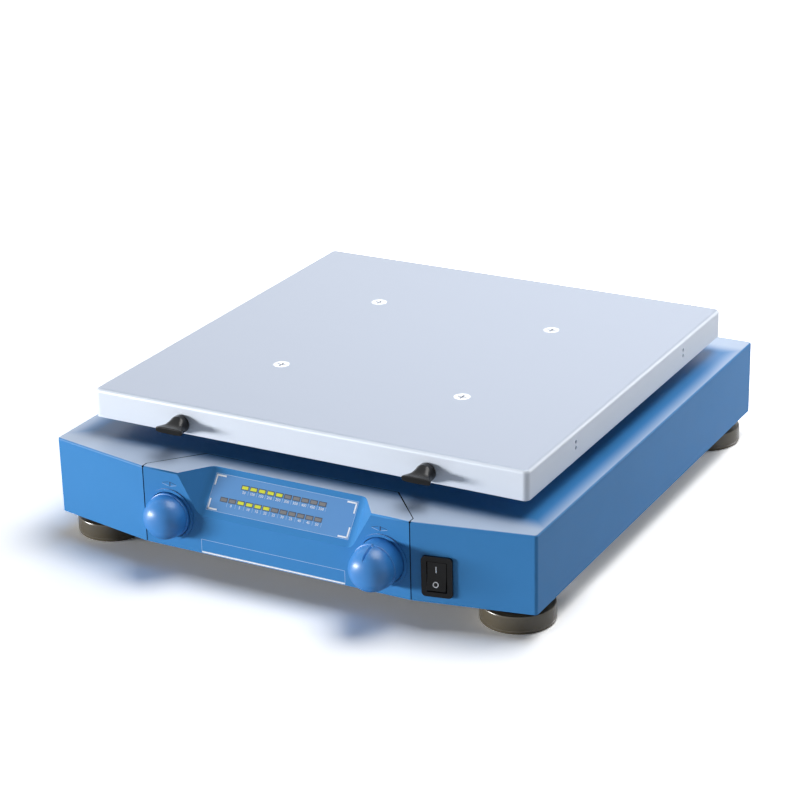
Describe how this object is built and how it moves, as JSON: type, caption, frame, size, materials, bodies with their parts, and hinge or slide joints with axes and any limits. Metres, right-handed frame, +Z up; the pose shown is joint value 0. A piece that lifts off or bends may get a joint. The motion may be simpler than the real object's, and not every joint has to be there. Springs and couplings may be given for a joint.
{
  "type": "orbital platform shaker",
  "caption": "Low box housing on rubber feet whose belt-driven crank and idling cranks carry a flat square tray in a small horizontal circle, with front knobs and lamps.",
  "frame": {"origin": "on the bench, under the middle of the whole object", "axes": "-Y the front with the control panel, +X to the right seen from the front, +Z up"},
  "size_m": [0.37, 0.425, 0.108],
  "materials": {
    "housing_blue": "satin powder coat",
    "tray_aluminium": "satin, clear anodised",
    "knob_blue": "smooth satin",
    "black_plastic": "fine grain",
    "black_gloss": "smooth",
    "foot_rubber": "matt, a little dusty",
    "window_film": "printed film",
    "lamp_lit": "light segments that are on",
    "lamp_unlit": "light segments that are off",
    "zinc_steel": "zinc plated sheet",
    "screw_steel": "plated",
    "machined_steel": "turned",
    "bearing_steel": "ground",
    "cast_aluminium": "as cast",
    "cast_iron": "sawn plate, oiled",
    "belt_rubber": "flat belt",
    "motor_grey": "motor can",
    "winding_copper": "enamelled windings on a core",
    "transformer_tape": "wound tape",
    "board_green": "solder mask",
    "dark_component": "moulded component bodies",
    "pin_brass": "plain",
    "lead_grey": "insulated leads"
  },
  "bodies": {
    "base": {"base_plate": "zinc_steel", "block_bearings": "bearing_steel", "block_screws": "screw_steel", "board_components": "dark_component", "board_standoffs": "pin_brass", "control_board": "board_green", "cover_screws": "screw_steel", "display_board": "board_green", "display_window": "window_film", "drive_belt": "belt_rubber", "drive_block": "cast_aluminium", "foot_necks": "black_plastic", "foot_pads": "foot_rubber", "foot_screws": "screw_steel", "front_panel": "housing_blue", "guide_blocks": "cast_aluminium", "housing_cover": "housing_blue", "inlet_pins": "pin_brass", "inlet_screws": "screw_steel", "inlet_socket": "black_plastic", "lit_lamps": "lamp_lit", "motor_bearings": "bearing_steel", "motor_housing": "motor_grey", "motor_screws": "screw_steel", "motor_stator": "winding_copper", "panel_bracket": "zinc_steel", "panel_screws": "screw_steel", "pot_nuts": "screw_steel", "speed_potentiometer": "dark_component", "switch_frame": "black_plastic", "timer_potentiometer": "dark_component", "transformer": "transformer_tape", "transformer_bolt": "screw_steel", "transformer_washer": "zinc_steel", "unlit_lamps": "lamp_unlit", "wiring": "lead_grey"},
    "drive_crank": {"drive_shaft": "machined_steel", "drive_pulley": "cast_aluminium", "counterweight": "cast_iron"},
    "motor_spindle": {"motor_rotor": "machined_steel", "motor_pulley": "cast_aluminium"},
    "guide_left": {"guide_crank_left": "machined_steel"},
    "guide_right": {"guide_crank_right": "machined_steel"},
    "guide_rear": {"guide_crank_rear": "machined_steel"},
    "platform": {"platform_tray": "tray_aluminium", "platform_carrier": "cast_aluminium", "carrier_bearings": "bearing_steel", "tray_screws": "screw_steel", "clamp_nuts": "zinc_steel"},
    "clamp_left": {"clamp_wing_left": "black_plastic", "clamp_stud_left": "screw_steel"},
    "clamp_right": {"clamp_wing_right": "black_plastic", "clamp_stud_right": "screw_steel"},
    "speed_latch": {"speed_slider": "black_plastic"},
    "speed_control": {"speed_knob": "knob_blue", "speed_shaft": "machined_steel"},
    "timer_latch": {"timer_slider": "black_plastic"},
    "timer_control": {"timer_knob": "knob_blue", "timer_shaft": "machined_steel"},
    "mains_rocker": {"switch_rocker": "black_gloss"}
  },
  "joints": [
    {"name": "drive_turn", "type": "hinge", "parent": "base", "child": "drive_crank", "pos_m": [0, 0.022, 0.0215], "axis": [0, 0, 1], "continuous": true},
    {"name": "motor_turn", "type": "hinge", "parent": "base", "child": "motor_spindle", "pos_m": [-0.08, 0.09, 0.0215], "axis": [0, 0, 1], "continuous": true},
    {"name": "guide_left_turn", "type": "hinge", "parent": "base", "child": "guide_left", "pos_m": [-0.115, -0.063, 0.0215], "axis": [0, 0, 1], "continuous": true},
    {"name": "guide_right_turn", "type": "hinge", "parent": "base", "child": "guide_right", "pos_m": [0.115, -0.063, 0.0215], "axis": [0, 0, 1], "continuous": true},
    {"name": "guide_rear_turn", "type": "hinge", "parent": "base", "child": "guide_rear", "pos_m": [0, 0.15, 0.0215], "axis": [0, 0, 1], "continuous": true},
    {"name": "platform_orbit", "type": "hinge", "parent": "drive_crank", "child": "platform", "pos_m": [0.0025, 0.01767, 0.0745], "axis": [0, 0, 1], "continuous": true},
    {"name": "clamp_left_turn", "type": "hinge", "parent": "platform", "child": "clamp_left", "pos_m": [-0.0925, -0.14933, 0.0945], "axis": [0, 1, 0], "range_deg": [-180, 180]},
    {"name": "clamp_right_turn", "type": "hinge", "parent": "platform", "child": "clamp_right", "pos_m": [0.0975, -0.14933, 0.0945], "axis": [0, 1, 0], "range_deg": [-180, 180]},
    {"name": "speed_push", "type": "slide", "parent": "base", "child": "speed_latch", "axis": [0, -1, 0], "range_m": [0, 0.0085]},
    {"name": "speed_turn", "type": "hinge", "parent": "speed_latch", "child": "speed_control", "pos_m": [-0.082, -0.1845, 0.043], "axis": [0, -1, 0], "range_deg": [-270, 0]},
    {"name": "timer_push", "type": "slide", "parent": "base", "child": "timer_latch", "axis": [0, 1, 0], "range_m": [0, 0.0085]},
    {"name": "timer_turn", "type": "hinge", "parent": "timer_latch", "child": "timer_control", "pos_m": [0.082, -0.1845, 0.043], "axis": [0, -1, 0], "range_deg": [-135, 135]},
    {"name": "mains_switch_tilt", "type": "hinge", "parent": "base", "child": "mains_rocker", "pos_m": [0.11982, -0.17775, 0.038], "axis": [0.9815, 0.1915, 0], "range_deg": [0, 14]}
  ],
  "couplings": [
    {"joint": "platform_orbit", "follows": "drive_turn", "ratio": -1},
    {"joint": "motor_turn", "follows": "drive_turn", "ratio": 3},
    {"joint": "guide_left_turn", "follows": "drive_turn", "ratio": 1},
    {"joint": "guide_right_turn", "follows": "drive_turn", "ratio": 1},
    {"joint": "guide_rear_turn", "follows": "drive_turn", "ratio": 1}
  ]
}
